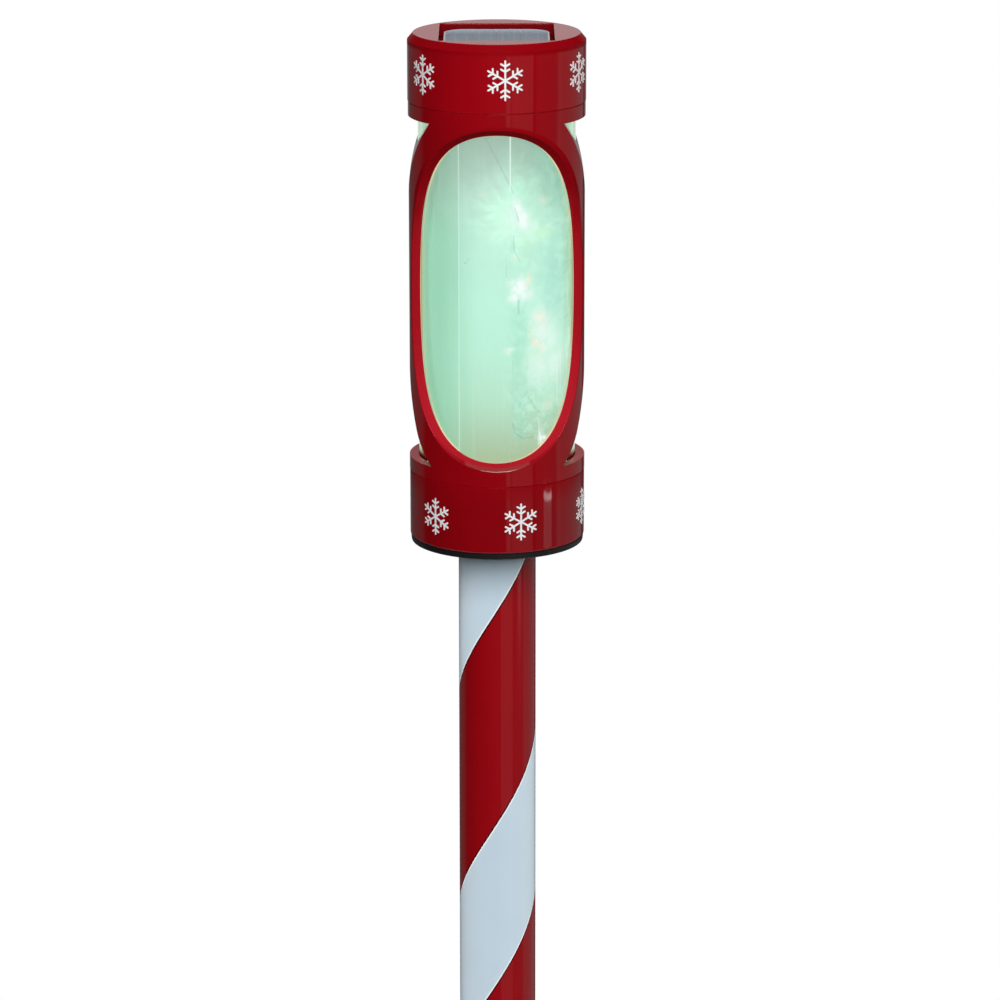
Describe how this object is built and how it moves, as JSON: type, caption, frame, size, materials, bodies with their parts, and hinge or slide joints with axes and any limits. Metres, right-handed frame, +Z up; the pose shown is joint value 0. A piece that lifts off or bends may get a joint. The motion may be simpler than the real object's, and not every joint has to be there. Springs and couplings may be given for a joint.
{
  "type": "solar bollard light",
  "caption": "Solar stake light: red lantern head with snowflakes, oval windows round a glowing tube, on a striped pole with a ground stake.",
  "frame": {"origin": "on the pole axis at ground level, where the stake's round neck meets the underside of its flange", "axes": "+Z up along the pole, front window towards -Y, +X to the viewer's right"},
  "size_m": [0.08, 0.0804, 0.7632],
  "materials": {
    "cap_red": "glossy red moulding",
    "cage_red": "glossy red moulding",
    "panel_resin": "clear resin over dark blue board",
    "cell_silicon": "dark blue cells with fine grid lines",
    "foam_black": "closed foam",
    "ornament_white": "raised white print",
    "inner_white": "satin white moulding",
    "screw_steel": "zinc plated",
    "seal_rubber": "soft black rubber",
    "board_green": "green solder mask",
    "chip_black": "moulded package",
    "coil_dark": "ferrite drum",
    "led_clear": "clear dome",
    "battery_wrap": "shrink sleeve",
    "contact_metal": "nickel plated spring strip",
    "switch_black": "moulded black",
    "wire_red": "insulated wire",
    "lens_clear": "clear tube",
    "film_mint": "iridescent film lit from inside",
    "film_bright": "creased iridescent film",
    "base_black": "black moulding",
    "pole_white": "white tube with a red helical stripe"
  },
  "bodies": {
    "stake": {"ground_stake": "base_black"},
    "pole": {"pole_tube": "pole_white"},
    "lantern": {"lantern_cage": "cage_red", "lens_tube": "lens_clear", "film_liner": "film_mint", "crumpled_film": "film_bright", "lower_reflector": "inner_white", "lower_collar": "cap_red", "lower_snowflakes": "ornament_white", "base_plate": "base_black", "base_screws": "screw_steel"},
    "cap": {"solar_cap": "cap_red", "solar_panel": "panel_resin", "solar_cells": "cell_silicon", "panel_pad": "foam_black", "upper_snowflakes": "ornament_white", "inner_cover": "inner_white", "cover_screws": "screw_steel", "seal_ring": "seal_rubber", "circuit_board": "board_green", "board_screws": "screw_steel", "driver_chip": "chip_black", "driver_coil": "coil_dark", "led_lamp": "led_clear", "led_holder": "inner_white", "battery_cell": "battery_wrap", "contact_plate": "contact_metal", "contact_spring": "contact_metal", "door_pin": "screw_steel", "switch_body": "switch_black", "panel_leads": "wire_red", "battery_leads": "wire_red"},
    "knob": {"switch_knob": "switch_black"},
    "door": {"battery_door": "inner_white"}
  },
  "joints": [
    {"name": "pole_lift", "type": "slide", "parent": "stake", "child": "pole", "axis": [0, 0, 1], "range_m": [0, 0.06]},
    {"name": "lantern_lift", "type": "slide", "parent": "pole", "child": "lantern", "axis": [0, 0, 1], "range_m": [0, 0.035]},
    {"name": "cap_lift", "type": "slide", "parent": "lantern", "child": "cap", "axis": [0, 0, 1], "range_m": [0, 0.03]},
    {"name": "switch_slide", "type": "slide", "parent": "cap", "child": "knob", "axis": [1, 0, 0], "range_m": [0, 0.004]},
    {"name": "battery_door_hinge", "type": "hinge", "parent": "cap", "child": "door", "pos_m": [0, 0.0065, 0.6015], "axis": [-1, 0, 0], "range_deg": [0, 90]}
  ]
}
